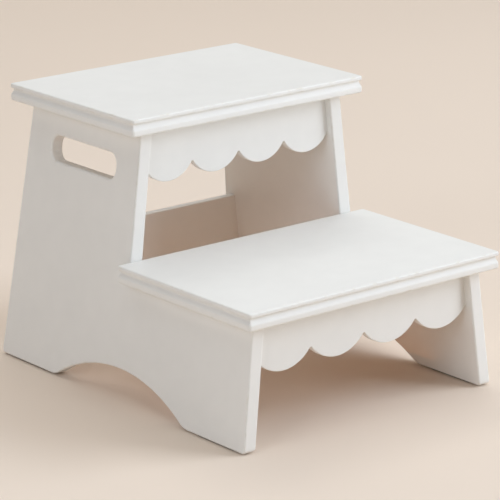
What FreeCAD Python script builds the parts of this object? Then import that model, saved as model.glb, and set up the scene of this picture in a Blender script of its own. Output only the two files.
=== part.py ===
import FreeCAD, Part
import math
import os

# Two-step children's stool in painted board, put together with hidden cams and dowels.
# Millimetres. +Z is up, +Y points to the back of the stool, and the stool is the same on both sides
# of X = 0. The origin is on the floor, under the middle of the stool's outer box.

# ---- driving sizes: overall -------------------------------------------------------------------
total_height = 292.5           # floor to the top of the upper tread
lower_step_height = 144.5      # floor to the top of the lower tread
upper_tread_width = 300.0
upper_tread_depth = 209.0
lower_tread_depth = 207.5
lean_angle = 6.8               # how far each side panel leans outwards going down, degrees

# ---- driving sizes: boards --------------------------------------------------------------------
tread_thickness = 18.0
panel_thickness = 15.0
apron_thickness = 9.0
rail_thickness = 9.0

# ---- driving sizes: how far the treads stand proud of the side panels ----------------------------
upper_side_overhang = 20.0
lower_side_overhang = 15.0
upper_front_overhang = 13.0
upper_rear_overhang = 14.0
lower_front_overhang = 14.0
tread_gap = 0.3                # between the lower tread's back edge and the side panels' risers

# ---- driving sizes: side panel outline ----------------------------------------------------------
rear_splay_angle = 4.9         # rear edge runs backwards towards the floor, degrees
front_splay_angle = 2.0        # lower front edge runs forwards towards the floor, degrees
arch_height = 33.0             # above the panel's bottom edge
arch_span = 213.0              # width of the arch at the panel's bottom edge, before its feet are eased
arch_foot_radius = 22.0        # soft run-out of the arch into each foot
toe_radius = 4.0               # outer corner of each foot
panel_edge_radius = 2.0        # rounding of the panel's front and back arrises
slot_length = 109.0
slot_height = 26.7
slot_drop = 28.7               # from the upper tread's underside down to the slot's top edge
slot_corner_radius = 11.0
slot_edge_radius = 2.5

# ---- driving sizes: tread edge moulding ---------------------------------------------------------
tread_corner_radius = 3.2      # in plan
tread_top_radius = 1.6
tread_bottom_radius = 2.4
bead_height = 4.9              # rounded nose under the top face
bead_under_radius = 1.8
groove_depth = 3.0             # how far the groove runs in under the nose
groove_wall_height = 0.6
ogee_height = 7.2              # double curve from the groove's wall back out to full width
ogee_upper_pull = 3.6          # how far its hollow upper half keeps to the wall
ogee_lower_pull = 2.7          # how far its round lower half keeps to the full width

# ---- driving sizes: aprons and back rail --------------------------------------------------------
upper_apron_height = 57.8
lower_apron_height = 55.8
apron_setback = 7.5            # from the side panels' front edges to the apron's face
scallop_count = 4
scallop_depth = 17.5
cusp_radius = 1.5
rail_height = 70.0
rail_setback = 7.5             # from the side panels' rear edges to the rail's rear face
board_edge_radius = 1.0

# ---- driving sizes: fixings ---------------------------------------------------------------------
tread_dowel_diameter = 6.0
tread_dowel_length = 30.0
tread_dowel_depth = 10.0       # part of a tread dowel that sits in the tread
tread_dowel_spacing = 68.0
apron_dowel_diameter = 5.0
apron_dowel_length = 25.0
apron_dowel_depth = 9.0        # part of an apron dowel that sits in the side panel
apron_dowel_drop = 10.0        # from the apron's top edge to its first dowel
apron_dowel_pitch = 18.0
rail_dowel_inset = 15.0        # from the rail's top and bottom edges to its dowels
flute_count = 12
flute_depth = 0.25
dowel_chamfer = 0.8
hole_clearance = 0.1           # on the diameter of each dowel and thread
hole_end_clearance = 1.0       # left free beyond each dowel's end
cam_drop = 24.0                # from the tread's underside to the cam's centre
cam_diameter = 15.0
cam_depth = 12.0
cam_clearance = 0.2
cam_sink = 0.4                 # the cam's face sits this far inside the panel's inner face
cam_cross_length = 6.0
cam_cross_width = 1.2
cam_slot_angle = 100.0
slot_to_cam = 10.0             # from each end of the hand slot to the cam beside it
lower_cam_inset = 31.0         # from each end of the edge under the lower tread to its cam
bolt_thread_diameter = 6.3
bolt_thread_length = 11.0
bolt_thread_pitch = 2.2
bolt_thread_relief = 0.7       # from the thread's crests down to its core
bolt_tip_taper = 0.8
thread_upper_flank = 0.35      # of the pitch, from a crest up to the core
thread_lower_flank = 0.15      # of the pitch, from a crest down to the core
bolt_chamfer = 1.0
bolt_collar_diameter = 7.6
bolt_collar_height = 2.0
bolt_shank_diameter = 6.0
bolt_neck_diameter = 4.2
bolt_neck_start = 14.5         # below the tread's underside
bolt_head_diameter = 6.6
bolt_head_height = 4.0
bolt_bore_diameter = 8.0
bolt_clearance = 0.6           # round the bolt's neck and head inside the cam
cap_diameter = 17.5
cap_thickness = 1.0
cap_rim_radius = 0.6
cap_stem_diameter = 4.0
cap_stem_length = 1.8
cap_stem_clearance = 0.2       # on the stem's diameter, in the cam's recess

# ---- driving sizes: foot pads -------------------------------------------------------------------
pad_thickness = 1.5
pad_width = 10.0
pad_end_margin = 12.0          # from each end of a foot's flat to its pad
pad_corner_radius = 4.0

# ---- for making the shapes ----------------------------------------------------------------------
cut_margin = 1.0               # how far a cutter starts outside the board that it cuts
same_place = 0.01              # places closer together than this are taken as one

# ---- worked out from the sizes above --------------------------------------------------------------
lean = math.radians(lean_angle)
upper_underside = total_height - tread_thickness
lower_underside = lower_step_height - tread_thickness
board_width_in_x = panel_thickness / math.cos(lean)
outer_half_at_top = upper_tread_width / 2 - upper_side_overhang
inner_half_at_top = outer_half_at_top - board_width_in_x


def inner_half(z):
    """Half the clear width between the side panels at height z."""
    return inner_half_at_top + (upper_underside - z) * math.tan(lean)


lower_tread_width = 2 * (inner_half(lower_underside) + board_width_in_x + lower_side_overhang)

# Tread fixings stand upright in the leaning panel: half way down a dowel's hole they are in mid-board.
dowel_depth_in_panel = tread_dowel_length - tread_dowel_depth
fixing_offset = board_width_in_x / 2 + dowel_depth_in_panel / 2 * math.tan(lean)

# Depths are first counted from the riser line, the upright front edge behind the lower tread.
top_edge_length = upper_tread_depth - upper_front_overhang - upper_rear_overhang
rear_slope = math.tan(math.radians(rear_splay_angle))
front_slope = math.tan(math.radians(front_splay_angle))
lower_tread_front = -tread_gap - lower_tread_depth
rear_reach = top_edge_length + (upper_underside - pad_thickness - toe_radius) * rear_slope
rear_reach -= toe_radius * (1 / math.cos(math.radians(rear_splay_angle)) - 1)

# The riser line's own place, with the origin under the middle of the outer box.
riser_y = -(lower_tread_front + rear_reach) / 2
lower_edge_front = riser_y + lower_tread_front + lower_front_overhang


def rear_edge(z):
    """Where the side panel's rear edge is at height z."""
    return riser_y + top_edge_length + (upper_underside - z) * rear_slope


def front_edge(z):
    """Where the side panel's lower front edge is at height z, below the lower tread."""
    return lower_edge_front - (lower_underside - z) * front_slope


upper_edge_middle = riser_y + top_edge_length / 2
lower_edge_middle = (lower_edge_front + riser_y) / 2
upper_cam_spacing = slot_length + 2 * slot_to_cam
lower_cam_spacing = riser_y - lower_edge_front - 2 * lower_cam_inset

# The arch: its radius, the height of its centre, and how far from its middle each foot's flat starts.
arch_middle = (front_edge(pad_thickness) + rear_edge(pad_thickness)) / 2
arch_radius = ((arch_span / 2) ** 2 + arch_height ** 2) / (2 * arch_height)
arch_centre_z = pad_thickness + arch_height - arch_radius
foot_round_z = pad_thickness + arch_foot_radius
foot_reach = math.sqrt((arch_radius + arch_foot_radius) ** 2 - (foot_round_z - arch_centre_z) ** 2)
upper_apron_face = riser_y + apron_setback
lower_apron_face = lower_edge_front + apron_setback
rail_top = lower_underside
rail_back = rear_edge(rail_top) - rail_setback
sides = (-1, 1)


def vec(x, y, z):
    return FreeCAD.Vector(x, y, z)


def line(a, b):
    return Part.LineSegment(a, b).toShape()


def arc(a, through, b):
    return Part.Arc(a, through, b).toShape()


def cylinder(radius, length, base, direction):
    return Part.makeCylinder(radius, length, base, direction)


def mirrored(shape):
    """The same piece on the other side of the stool."""
    return shape.mirror(vec(0, 0, 0), vec(1, 0, 0))


def on_side(shape, side):
    return shape if side > 0 else mirrored(shape)


def outward():
    """Square to the right-hand panel's faces, out of the stool."""
    return vec(math.cos(lean), 0, math.sin(lean))


def rounded_outline(corners):
    """Closed wire through corners, each a point and the radius that eases it (0 leaves it sharp)."""
    edges = []
    count = len(corners)
    ends = []
    for i in range(count):
        point, radius = corners[i]
        before = corners[i - 1][0] - point
        after = corners[(i + 1) % count][0] - point
        before.normalize()
        after.normalize()
        half = before.getAngle(after) / 2
        cut = radius / math.tan(half) if radius else 0.0
        start = point + before * cut
        end = point + after * cut
        middle = None
        if radius:
            inward = before + after
            inward.normalize()
            middle = point + inward * (radius / math.sin(half) - radius)
        ends.append((start, middle, end))
    for i in range(count):
        start, middle, end = ends[i]
        if middle is not None:
            edges.append(arc(start, middle, end))
        edges.append(line(end, ends[(i + 1) % count][0]))
    return Part.Wire(edges)


def lean_placement():
    """Stands a shape drawn with its inner face on X = 0 up along the right-hand panel."""
    turn = FreeCAD.Rotation(vec(0, 1, 0), -lean_angle)
    return FreeCAD.Placement(vec(inner_half(0), 0, 0), turn)


def panel_slab():
    """The leaning board that the right-hand panel is cut from, larger than the panel all round."""
    reach = total_height + upper_tread_depth + lower_tread_depth
    slab = Part.makeBox(panel_thickness, 2 * reach, 2 * reach, vec(0, -reach, -reach))
    slab.Placement = lean_placement()
    return slab


def panel_outline():
    """Side view of the panel: step outline with splayed front and back, without the arch."""
    corners = [
        (vec(0, riser_y, upper_underside), 0),
        (vec(0, rear_edge(upper_underside), upper_underside), 0),
        (vec(0, rear_edge(pad_thickness), pad_thickness), toe_radius),
        (vec(0, front_edge(pad_thickness), pad_thickness), toe_radius),
        (vec(0, lower_edge_front, lower_underside), 0),
        (vec(0, riser_y, lower_underside), 0),
    ]
    return rounded_outline(corners)


def arch_outline():
    """Side view of the arch: one large arc, run out into the floor line by an arc at each foot."""
    centre = vec(0, arch_middle, arch_centre_z)
    share = arch_radius / (arch_radius + arch_foot_radius)
    edges = []
    ends = []
    for side in sides:
        foot = vec(0, arch_middle + side * foot_reach, foot_round_z)
        floor = vec(0, foot.y, pad_thickness)
        join = centre + (foot - centre) * share
        bend = (floor - foot) + (join - foot)
        bend.normalize()
        edges.append(arc(floor, foot + bend * arch_foot_radius, join))
        ends.append((floor, join))
    (front_floor, front_join), (rear_floor, rear_join) = ends
    apex = vec(0, arch_middle, pad_thickness + arch_height)
    below = vec(0, 0, -toe_radius)
    edges.append(arc(front_join, apex, rear_join))
    edges.append(line(rear_floor, rear_floor + below))
    edges.append(line(rear_floor + below, front_floor + below))
    edges.append(line(front_floor + below, front_floor))
    return Part.Wire(Part.__sortEdges__(edges))


def slot_centre_up():
    """Height of the slot's centre, measured up the panel's inner face."""
    top = upper_underside / math.cos(lean) - panel_thickness * math.tan(lean)
    return top - slot_drop - slot_height / 2


def slot_cutter():
    """Hand slot through the right-hand panel, square to its faces."""
    low = slot_centre_up() - slot_height / 2
    high = low + slot_height
    front = upper_edge_middle - slot_length / 2
    rear = front + slot_length
    corners = [(vec(-cut_margin, y, z), slot_corner_radius)
               for y, z in ((front, low), (rear, low), (rear, high), (front, high))]
    through = vec(panel_thickness + 2 * cut_margin, 0, 0)
    cutter = Part.Face(rounded_outline(corners)).extrude(through)
    cutter.Placement = lean_placement()
    return cutter


def across(outline):
    """The outline, drawn in side view, carried straight across the stool's right half."""
    return Part.Face(outline).extrude(vec(upper_tread_width, 0, 0))


def on_face(edge, depth):
    """True when the whole edge lies in the panel's plane at this depth from its inner face."""
    base = vec(inner_half(0), 0, 0)
    samples = [v.Point for v in edge.Vertexes]
    samples.append(edge.valueAt((edge.FirstParameter + edge.LastParameter) / 2))
    return all(abs((p - base).dot(outward()) - depth) < same_place for p in samples)


def in_slot(edge):
    middle = edge.valueAt((edge.FirstParameter + edge.LastParameter) / 2)
    level = slot_centre_up() * math.cos(lean)
    near_y = abs(middle.y - upper_edge_middle) < slot_length / 2 + same_place
    return near_y and abs(middle.z - level) < slot_height / 2 + panel_thickness * math.sin(lean)


def under_tread(edge):
    """True for the edges that a tread sits on, which stay sharp."""
    box = edge.BoundBox
    flat = box.ZLength < same_place
    return flat and any(abs(box.ZMin - z) < same_place for z in (upper_underside, lower_underside))


def soften(panel):
    """Rounds the arrises of both faces: the outline's and, a little more, the hand slot's."""
    faces = (0, panel_thickness)
    rims = [e for e in panel.Edges if any(on_face(e, d) for d in faces) and not under_tread(e)]
    slot_rims = [e for e in rims if in_slot(e)]
    outline_rims = [e for e in rims if not in_slot(e)]
    panel = panel.makeFillet(slot_edge_radius, slot_rims)
    return panel.makeFillet(panel_edge_radius, matching(panel, outline_rims))


def matching(shape, wanted):
    """The edges of shape that lie where the wanted edges lay before other arrises were rounded."""
    middles = [e.valueAt((e.FirstParameter + e.LastParameter) / 2) for e in wanted]
    found = []
    for edge in shape.Edges:
        middle = edge.valueAt((edge.FirstParameter + edge.LastParameter) / 2)
        if any((middle - other).Length < same_place for other in middles):
            found.append(edge)
    return found


def fixing_x(underside):
    """Distance from the stool's middle to the upright fixings of the tread at this level."""
    return inner_half(underside) + fixing_offset


def along(middle, spacing):
    """The two places, front and rear, of a pair of fixings."""
    return (middle - spacing / 2, middle + spacing / 2)


def tread_joints():
    """Each tread's underside, the middle of the edge that it sits on, and its cams' spacing."""
    return {
        "upper_tread": (upper_underside, upper_edge_middle, upper_cam_spacing),
        "lower_tread": (lower_underside, lower_edge_middle, lower_cam_spacing),
    }


def crosspiece_joints():
    """Middle of the thickness and the dowel heights of each board that runs between the panels."""
    upper_top = upper_underside - apron_dowel_drop
    lower_top = lower_underside - apron_dowel_drop
    rail_levels = (rail_top - rail_dowel_inset, rail_top - rail_height + rail_dowel_inset)
    return {
        "upper_apron": (upper_apron_face + apron_thickness / 2, (upper_top, upper_top - apron_dowel_pitch)),
        "lower_apron": (lower_apron_face + apron_thickness / 2, (lower_top, lower_top - apron_dowel_pitch)),
        "back_rail": (rail_back - rail_thickness / 2, rail_levels),
    }


def tread_dowel_holes(name):
    """The dowel holes of one tread joint on the right-hand side, as they run through both boards."""
    underside, middle, _ = tread_joints()[name]
    radius = (tread_dowel_diameter + hole_clearance) / 2
    length = tread_dowel_length + 2 * hole_end_clearance
    top = underside + tread_dowel_depth + hole_end_clearance
    down = vec(0, 0, -1)
    return [cylinder(radius, length, vec(fixing_x(underside), y, top), down)
            for y in along(middle, tread_dowel_spacing)]


def crosspiece_dowel_holes(name):
    """The dowel holes of one apron or rail joint on the right-hand side, through both boards."""
    y, levels = crosspiece_joints()[name]
    radius = (apron_dowel_diameter + hole_clearance) / 2
    length = apron_dowel_length + 2 * hole_end_clearance
    holes = []
    for z in levels:
        outer = inner_half(z) + apron_dowel_depth + hole_end_clearance
        holes.append(cylinder(radius, length, vec(outer, y, z), vec(-1, 0, 0)))
    return holes


def cam_centre(underside, y):
    """Where a cam's axis meets the panel's inner face: the bolt's line, carried square to the face."""
    z = underside - cam_drop
    depth = (fixing_x(underside) - inner_half(z)) * math.cos(lean)
    return vec(fixing_x(underside), y, z) - outward() * depth


def cam_pocket(underside, y):
    """Round pocket for a cam, square into the panel's inner face."""
    start = cam_centre(underside, y) - outward() * cut_margin
    radius = (cam_diameter + cam_clearance) / 2
    return cylinder(radius, cut_margin + cam_sink + cam_depth, start, outward())


def bolt_bore(underside, y):
    """Bore down the panel for a cam bolt's shank, as far as the cam's pocket."""
    top = vec(fixing_x(underside), y, underside + cut_margin)
    return cylinder(bolt_bore_diameter / 2, cut_margin + cam_drop, top, vec(0, 0, -1))


def thread_hole(underside, y):
    """Blind hole in a tread's underside for a cam bolt's thread."""
    radius = (bolt_thread_diameter + hole_clearance) / 2
    length = bolt_thread_length + hole_end_clearance
    return cylinder(radius, length, vec(fixing_x(underside), y, underside), vec(0, 0, 1))


def side_panel():
    """Right-hand side panel: leaning board with step outline, arch, hand slot and fixing holes."""
    panel = across(panel_outline()).common(panel_slab())
    panel = panel.cut(across(arch_outline()))
    panel = panel.cut(slot_cutter())
    panel = soften(panel.removeSplitter().Solids[0])
    cutters = []
    for name, (underside, middle, spacing) in tread_joints().items():
        cutters += tread_dowel_holes(name)
        for y in along(middle, spacing):
            cutters.append(cam_pocket(underside, y))
            cutters.append(bolt_bore(underside, y))
    for name in crosspiece_joints():
        cutters += crosspiece_dowel_holes(name)
    return panel.cut(Part.makeCompound(cutters)).Solids[0]


def groove_section(front, top):
    """Section of what the moulding cutter takes out, drawn across the middle of a tread's front edge.

    Below the rounded nose a short upright wall runs into an ogee, hollow above and round below.
    """
    lip = top - bead_height
    floor = lip - groove_wall_height
    out = floor - ogee_height
    inside = front + groove_depth
    under = bead_under_radius
    clear = front - cut_margin
    nose = vec(0, front, lip + under)
    nose_end = vec(0, front + under, lip)
    nose_centre = vec(0, nose_end.y, nose.z)
    nose_middle = nose_centre + vec(0, -1, -1) * (under * math.sqrt(0.5))
    wall = [nose_end, vec(0, inside, lip), vec(0, inside, floor)]
    outside = [vec(0, front, out), vec(0, clear, out), vec(0, clear, nose.z), nose]
    ogee = Part.BezierCurve()
    ogee.setPoles([wall[-1], wall[-1] - vec(0, 0, ogee_upper_pull),
                   outside[0] + vec(0, 0, ogee_lower_pull), outside[0]])
    edges = [arc(nose, nose_middle, nose_end)]
    edges += [line(a, b) for a, b in zip(wall, wall[1:])]
    edges.append(ogee.toShape())
    edges += [line(a, b) for a, b in zip(outside, outside[1:])]
    return Part.Wire(edges)


def plan_outline(width, front, depth, z):
    """Rounded rectangle that starts in the middle of the front edge."""
    half = width / 2
    r = tread_corner_radius
    corners = [(vec(x, y, z), r) for x, y in
               ((half, front), (half, front + depth), (-half, front + depth), (-half, front))]
    return rounded_outline(corners)


def tread(name, width, front, depth):
    """A tread: board with a moulded edge all round and blind holes for its fixings underneath."""
    underside, middle, spacing = tread_joints()[name]
    top = underside + tread_thickness
    outline = plan_outline(width, front, depth, underside)
    board = Part.Face(outline).extrude(vec(0, 0, tread_thickness))
    upper_rim = [e for e in board.Edges if abs(e.BoundBox.ZMin - top) < same_place]
    lower_rim = [e for e in board.Edges if abs(e.BoundBox.ZMax - underside) < same_place]
    board = board.makeFillet(tread_bottom_radius, lower_rim)
    board = board.makeFillet(tread_top_radius, matching(board, upper_rim))
    board = board.cut(edge_groove(width, front, depth, top))
    cutters = tread_dowel_holes(name)
    cutters += [thread_hole(underside, y) for y in along(middle, spacing)]
    cutters += [mirrored(c) for c in cutters]
    return board.cut(Part.makeCompound(cutters)).Solids[0]


def edge_groove(width, front, depth, top):
    """The ring that the moulding cutter takes out of a tread's edge."""
    section = Part.Face(groove_section(front, top))
    r = tread_corner_radius
    end_x = width / 2 - r
    up = vec(0, 0, 1)
    pivot = vec(end_x, front + r, 0)
    run = section.extrude(vec(2 * end_x, 0, 0))
    run.translate(vec(-end_x, 0, 0))
    section.translate(vec(end_x, 0, 0))
    corner = section.revolve(pivot, up, 90)
    end = section.rotated(pivot, up, 90).extrude(vec(0, depth - 2 * r, 0))
    half_ring = [run, corner, end, mirrored(corner)]
    middle = vec(0, front + depth / 2, 0)
    ring = half_ring + [piece.rotated(middle, up, 180) for piece in half_ring]
    return ring[0].fuse(ring[1:])


def scalloped_outline(y, top, height):
    """Front view of an apron: level top, leaning ends, and round scallops along the bottom."""
    cusp_z = top - height + scallop_depth
    half = inner_half(cusp_z)
    pitch = 2 * half / scallop_count
    radius = ((pitch / 2) ** 2 + scallop_depth ** 2) / (2 * scallop_depth)
    edges = [line(vec(-half, y, cusp_z), vec(-inner_half(top), y, top)),
             line(vec(-inner_half(top), y, top), vec(inner_half(top), y, top)),
             line(vec(inner_half(top), y, top), vec(half, y, cusp_z))]
    centre_z = cusp_z - scallop_depth + radius
    # Each inner cusp is eased by a small arc that touches the scallops on both sides of it.
    ease_z = centre_z - math.sqrt((radius + cusp_radius) ** 2 - (pitch / 2) ** 2)
    joins = [vec(-half, y, cusp_z)]
    for i in range(1, scallop_count):
        cusp = vec(-half + i * pitch, y, ease_z)
        share = radius / (radius + cusp_radius)
        left_centre = vec(cusp.x - pitch / 2, y, centre_z)
        right_centre = vec(cusp.x + pitch / 2, y, centre_z)
        left = left_centre + (cusp - left_centre) * share
        right = right_centre + (cusp - right_centre) * share
        edges.append(arc(left, cusp + vec(0, 0, cusp_radius), right))
        joins += [left, right]
    joins.append(vec(half, y, cusp_z))
    for i in range(scallop_count):
        bottom = vec(-half + (i + 0.5) * pitch, y, cusp_z - scallop_depth)
        edges.append(arc(joins[2 * i], bottom, joins[2 * i + 1]))
    return Part.Wire(Part.__sortEdges__(edges))


def crosspiece(name, blank, free_rims):
    """Finishes a board that runs between the panels: eased free arrises and dowel holes."""
    blank = blank.makeFillet(board_edge_radius, free_rims)
    cutters = crosspiece_dowel_holes(name)
    cutters += [mirrored(c) for c in cutters]
    return blank.cut(Part.makeCompound(cutters)).Solids[0]


def apron(name, face, top, height):
    """Scalloped apron under the front of a tread."""
    blank = Part.Face(scalloped_outline(face, top, height)).extrude(vec(0, apron_thickness, 0))
    cusp_z = top - height + scallop_depth
    low = [e for e in blank.Edges
           if e.BoundBox.YLength < same_place and e.BoundBox.ZMax < cusp_z + cusp_radius]
    return crosspiece(name, blank, low)


def back_rail():
    """Plain rail between the side panels at the back, level with the lower tread's underside."""
    low = rail_top - rail_height
    front = rail_back - rail_thickness
    points = [vec(-inner_half(low), front, low), vec(-inner_half(rail_top), front, rail_top),
              vec(inner_half(rail_top), front, rail_top), vec(inner_half(low), front, low)]
    blank = Part.Face(Part.makePolygon(points + points[:1])).extrude(vec(0, rail_thickness, 0))
    rims = [e for e in blank.Edges
            if e.BoundBox.YLength < same_place and e.BoundBox.ZLength < same_place]
    return crosspiece("back_rail", blank, rims)


def fluted_dowel(diameter, length, base, direction):
    """Grooved beech dowel with chamfered ends."""
    radius = diameter / 2
    points = []
    for i in range(2 * flute_count):
        angle = math.pi * i / flute_count
        reach = radius - flute_depth * (i % 2)
        points.append(vec(reach * math.cos(angle), reach * math.sin(angle), 0))
    body = Part.Face(Part.makePolygon(points + points[:1])).extrude(vec(0, 0, length))
    tip = radius - dowel_chamfer
    section = [vec(0, 0, 0), vec(tip, 0, 0), vec(radius, 0, dowel_chamfer),
               vec(radius, 0, length - dowel_chamfer), vec(tip, 0, length), vec(0, 0, length)]
    turned = Part.Face(Part.makePolygon(section + section[:1]))
    turned = turned.revolve(vec(0, 0, 0), vec(0, 0, 1), 360)
    dowel = body.common(turned).Solids[0]
    dowel.Placement = FreeCAD.Placement(base, FreeCAD.Rotation(vec(0, 0, 1), direction))
    return dowel


def tread_dowels(name):
    """The upright dowels, two on each side, that place a tread on the side panels."""
    underside, middle, _ = tread_joints()[name]
    low = underside + tread_dowel_depth - tread_dowel_length
    dowels = []
    for side in sides:
        for y in along(middle, tread_dowel_spacing):
            base = vec(fixing_x(underside), y, low)
            dowel = fluted_dowel(tread_dowel_diameter, tread_dowel_length, base, vec(0, 0, 1))
            dowels.append(on_side(dowel, side))
    return Part.makeCompound(dowels)


def crosspiece_dowels(name):
    """The level dowels, two at each end, that hold an apron or the rail between the panels."""
    y, levels = crosspiece_joints()[name]
    dowels = []
    for side in sides:
        for z in levels:
            base = vec(inner_half(z) + apron_dowel_depth - apron_dowel_length, y, z)
            dowel = fluted_dowel(apron_dowel_diameter, apron_dowel_length, base, vec(1, 0, 0))
            dowels.append(on_side(dowel, side))
    return Part.makeCompound(dowels)


def cam_bolt():
    """Cam bolt with its collar's top at Z = 0: thread above, shank, neck and head below."""
    thread = bolt_thread_diameter / 2
    core = thread - bolt_thread_relief
    tip = core - bolt_tip_taper
    section = [vec(0, 0, bolt_thread_length), vec(tip, 0, bolt_thread_length)]
    turns = int(bolt_thread_length / bolt_thread_pitch)
    for i in range(turns):
        crest = bolt_thread_length - (i + 0.5) * bolt_thread_pitch
        section += [vec(core, 0, crest + thread_upper_flank * bolt_thread_pitch),
                    vec(thread, 0, crest),
                    vec(core, 0, crest - thread_lower_flank * bolt_thread_pitch)]
    head_top = -cam_drop + bolt_head_height / 2
    head_low = head_top - bolt_head_height
    head = bolt_head_diameter / 2
    collar = bolt_collar_diameter / 2
    shank = bolt_shank_diameter / 2
    neck = bolt_neck_diameter / 2
    section += [vec(core, 0, 0), vec(collar, 0, 0), vec(collar, 0, -bolt_collar_height),
                vec(shank, 0, -bolt_collar_height), vec(shank, 0, -bolt_neck_start),
                vec(neck, 0, -bolt_neck_start - bolt_chamfer), vec(neck, 0, head_top),
                vec(head, 0, head_top - bolt_chamfer), vec(head, 0, head_low + bolt_chamfer),
                vec(head - bolt_chamfer, 0, head_low), vec(0, 0, head_low)]
    face = Part.Face(Part.makePolygon(section + section[:1]))
    return face.revolve(vec(0, 0, 0), vec(0, 0, 1), 360)


def cam_bolts(name):
    """The bolts that are driven into a tread's underside and caught by its cams."""
    underside, middle, spacing = tread_joints()[name]
    bolts = []
    for side in sides:
        for y in along(middle, spacing):
            bolt = cam_bolt()
            bolt.translate(vec(fixing_x(underside), y, underside))
            bolts.append(on_side(bolt, side))
    return Part.makeCompound(bolts)


def cam_body():
    """Cam with its open face at Z = 0, its slot's start on +X: body, driver cross, slot and hollow."""
    body = cylinder(cam_diameter / 2, cam_depth, vec(0, 0, 0), vec(0, 0, 1))
    recess_radius = (cap_stem_diameter + cap_stem_clearance) / 2
    recess = cylinder(recess_radius, cap_stem_length, vec(0, 0, 0), vec(0, 0, 1))
    half = cam_cross_length / 2
    width = cam_cross_width
    arms = [Part.makeBox(2 * half, width, width, vec(-half, -width / 2, 0)),
            Part.makeBox(width, 2 * half, width, vec(-width / 2, -half, 0))]
    return body.cut([recess] + arms)


def cam_nut(underside, y):
    """One cam in its pocket, with the hollow that grips the bolt's head and the slot for its neck."""
    normal = outward()
    up = vec(-math.sin(lean), 0, math.cos(lean))
    face = cam_centre(underside, y) + normal * cam_sink
    turn = FreeCAD.Rotation(up, normal.cross(up), normal, "ZXY")
    body = cam_body()
    body.Placement = FreeCAD.Placement(face, turn)
    axis = vec(fixing_x(underside), y, underside - cam_drop)
    neck = bolt_neck_diameter / 2 + bolt_clearance
    head = bolt_head_diameter / 2 + bolt_clearance
    room = bolt_head_height / 2 + bolt_clearance
    hollow = cylinder(head, 2 * room, axis - vec(0, 0, room), vec(0, 0, 1))
    gate = cylinder(neck, cam_diameter, axis, vec(0, 0, 1))
    # The slot that the bolt's neck runs in as the cam is turned: a ring sector at the neck's depth.
    start = vec(0, 0, (axis - face).dot(normal) - neck)
    sector = Part.makeCylinder(cam_diameter, 2 * neck, start, vec(0, 0, 1), cam_slot_angle)
    core = cylinder(head, 2 * neck, start, vec(0, 0, 1))
    slot = sector.cut(core)
    slot.Placement = body.Placement
    return body.cut([hollow, gate, slot]).Solids[0]


def cam_nuts(name):
    """The cams in the side panels' inner faces, two on each side."""
    underside, middle, spacing = tread_joints()[name]
    nuts = []
    for side in sides:
        for y in along(middle, spacing):
            nuts.append(on_side(cam_nut(underside, y), side))
    return Part.makeCompound(nuts)


def cam_caps(name):
    """The flat round caps that hide the cams on the panels' inner faces."""
    underside, middle, spacing = tread_joints()[name]
    caps = []
    for side in sides:
        for y in along(middle, spacing):
            seat = cam_centre(underside, y)
            disc = cylinder(cap_diameter / 2, cap_thickness, seat, outward() * -1)
            rim = [e for e in disc.Edges if len(e.Vertexes) == 1 and on_face(e, -cap_thickness)]
            disc = disc.makeFillet(cap_rim_radius, rim)
            stem = cylinder(cap_stem_diameter / 2, cap_stem_length, seat, outward())
            caps.append(on_side(disc.fuse(stem).removeSplitter().Solids[0], side))
    return Part.makeCompound(caps)


def foot_pad(side, end):
    """Thin non-slip pad under one foot: end is -1 at the front and 1 at the rear."""
    toe = front_edge(pad_thickness) if end < 0 else rear_edge(pad_thickness)
    outer_end = toe - end * (toe_radius + pad_end_margin)
    inner_end = arch_middle + end * (foot_reach + pad_end_margin)
    x = inner_half(pad_thickness) + board_width_in_x / 2
    left = x - pad_width / 2
    right = x + pad_width / 2
    corners = [(vec(px, py, 0), pad_corner_radius) for px, py in
               ((left, inner_end), (right, inner_end), (right, outer_end), (left, outer_end))]
    pad = Part.Face(rounded_outline(corners)).extrude(vec(0, 0, pad_thickness))
    return on_side(pad, side)


def parts():
    """Every sub-part by its node name."""
    panel = side_panel()
    upper_front = riser_y - upper_front_overhang
    lower_front = riser_y + lower_tread_front
    made = {
        "right_side_panel": panel,
        "left_side_panel": mirrored(panel),
        "upper_tread": tread("upper_tread", upper_tread_width, upper_front, upper_tread_depth),
        "lower_tread": tread("lower_tread", lower_tread_width, lower_front, lower_tread_depth),
        "upper_apron": apron("upper_apron", upper_apron_face, upper_underside, upper_apron_height),
        "lower_apron": apron("lower_apron", lower_apron_face, lower_underside, lower_apron_height),
        "back_rail": back_rail(),
    }
    for name in tread_joints():
        made[name + "_dowels"] = tread_dowels(name)
        made[name + "_cam_bolts"] = cam_bolts(name)
        made[name + "_cam_nuts"] = cam_nuts(name)
        made[name + "_cam_caps"] = cam_caps(name)
    for name in crosspiece_joints():
        made[name + "_dowels"] = crosspiece_dowels(name)
    for side, side_name in zip(sides, ("left", "right")):
        for end, end_name in ((-1, "front"), (1, "rear")):
            made[side_name + "_" + end_name + "_foot_pad"] = foot_pad(side, end)
    return made


os.makedirs("parts", exist_ok=True)
for node, shape in parts().items():
    shape.exportStep("parts/" + node + ".step")
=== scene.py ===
import math

import bmesh
import bpy
from bpy.props import FloatProperty, FloatVectorProperty, IntProperty, PointerProperty
from mathutils import Matrix, Vector
from mathutils.geometry import interpolate_bezier


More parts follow.
